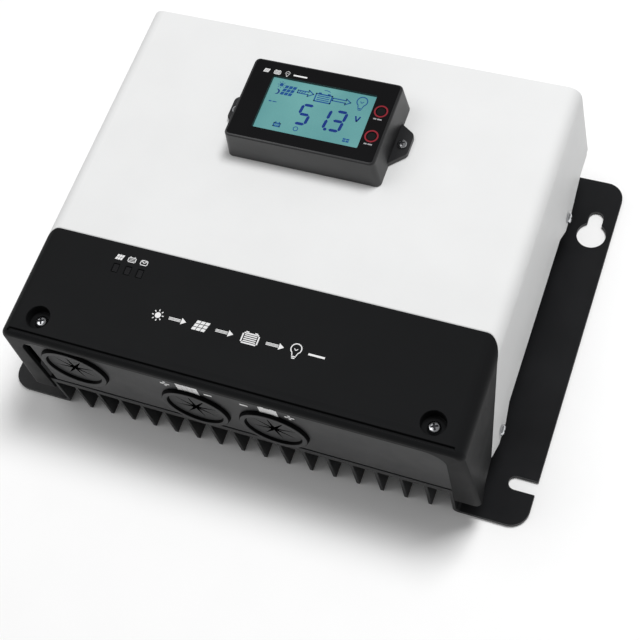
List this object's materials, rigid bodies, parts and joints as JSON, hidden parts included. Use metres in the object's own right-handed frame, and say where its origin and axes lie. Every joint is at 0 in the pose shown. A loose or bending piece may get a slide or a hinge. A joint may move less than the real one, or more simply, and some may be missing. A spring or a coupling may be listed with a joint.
{
  "type": "charge controller",
  "caption": "Charge controller on a finned heat sink with a white sheet cover, black wiring cover, cable grommets and a display meter on top.",
  "frame": {"origin": "centre of the bounding box in plan, on the plane of the flanges' undersides", "axes": "+X to the object's right along the row of grommets, +Y from the grommet end to the rear, +Z out of the wall through the covers"},
  "size_m": [0.316, 0.223, 0.113],
  "materials": {
    "black_anodised": "satin black finish on extruded aluminium",
    "white_powder_coat": "fine textured white powder coat",
    "black_plastic": "fine matte black moulding",
    "grey_plastic": "matte dark grey moulding",
    "black_rubber": "soft matte rubber",
    "bright_steel": "bright zinc or nickel plating",
    "clamp_steel": "plain steel",
    "plain_aluminium": "turned aluminium",
    "turned_brass": "turned brass",
    "smoked_plastic": "smoked clear plastic",
    "circuit_board": "green solder resist",
    "terminal_green": "moulded terminal block",
    "wound_core": "iron powder core under enamelled copper winding",
    "capacitor_sleeve": "sleeved aluminium can",
    "device_epoxy": "moulded epoxy",
    "thermal_pad_grey": "soft grey thermal pad",
    "clear_lens": "clear window",
    "lcd_panel": "teal backlit liquid crystal panel"
  },
  "bodies": {
    "controller": {"bulk_capacitor_1": "capacitor_sleeve", "bulk_capacitor_2": "capacitor_sleeve", "bulk_capacitor_3": "capacitor_sleeve", "cable_grommet_left": "black_rubber", "cable_grommet_middle": "black_rubber", "cable_grommet_right": "black_rubber", "clamp_bar": "clamp_steel", "clamp_screw_left": "bright_steel", "clamp_screw_right": "bright_steel", "cover_screw_front_left": "bright_steel", "cover_screw_front_right": "bright_steel", "cover_screw_rear_left": "bright_steel", "cover_screw_rear_right": "bright_steel", "gland_panel": "grey_plastic", "gland_screw_left": "bright_steel", "gland_screw_right": "bright_steel", "heat_sink": "black_anodised", "housing_cover": "white_powder_coat", "led_light_pipe_1": "smoked_plastic", "led_light_pipe_2": "smoked_plastic", "led_light_pipe_3": "smoked_plastic", "main_pcb": "circuit_board", "meter_back": "black_plastic", "meter_cable": "black_rubber", "meter_case": "black_plastic", "meter_lcd": "lcd_panel", "meter_lens": "clear_lens", "meter_pcb": "circuit_board", "meter_screw_left": "bright_steel", "meter_screw_right": "bright_steel", "meter_switch_lower": "clamp_steel", "meter_switch_upper": "clamp_steel", "mosfet_1": "device_epoxy", "mosfet_2": "device_epoxy", "mosfet_3": "device_epoxy", "mosfet_4": "device_epoxy", "pcb_screw_front_left": "bright_steel", "pcb_screw_front_right": "bright_steel", "pcb_screw_rear_left": "bright_steel", "pcb_screw_rear_right": "bright_steel", "pcb_standoff_front_left": "turned_brass", "pcb_standoff_front_right": "turned_brass", "pcb_standoff_rear_left": "turned_brass", "pcb_standoff_rear_right": "turned_brass", "power_inductor_left": "wound_core", "power_inductor_right": "wound_core", "terminal_block": "terminal_green", "terminal_cover": "black_plastic", "terminal_cover_post_left": "plain_aluminium", "terminal_cover_post_right": "plain_aluminium", "terminal_cover_screw_left": "bright_steel", "terminal_cover_screw_right": "bright_steel", "terminal_screw_1": "bright_steel", "terminal_screw_2": "bright_steel", "terminal_screw_3": "bright_steel", "terminal_screw_4": "bright_steel", "thermal_pad": "thermal_pad_grey"},
    "button_lower": {"meter_button_lower": "black_plastic"},
    "button_upper": {"meter_button_upper": "black_plastic"}
  },
  "joints": [
    {"name": "button_lower_press", "type": "slide", "parent": "controller", "child": "button_lower", "axis": [0, 0, -1], "range_m": [0, 0.0008], "stiffness_N_per_m": 400},
    {"name": "button_upper_press", "type": "slide", "parent": "controller", "child": "button_upper", "axis": [0, 0, -1], "range_m": [0, 0.0008], "stiffness_N_per_m": 400}
  ]
}
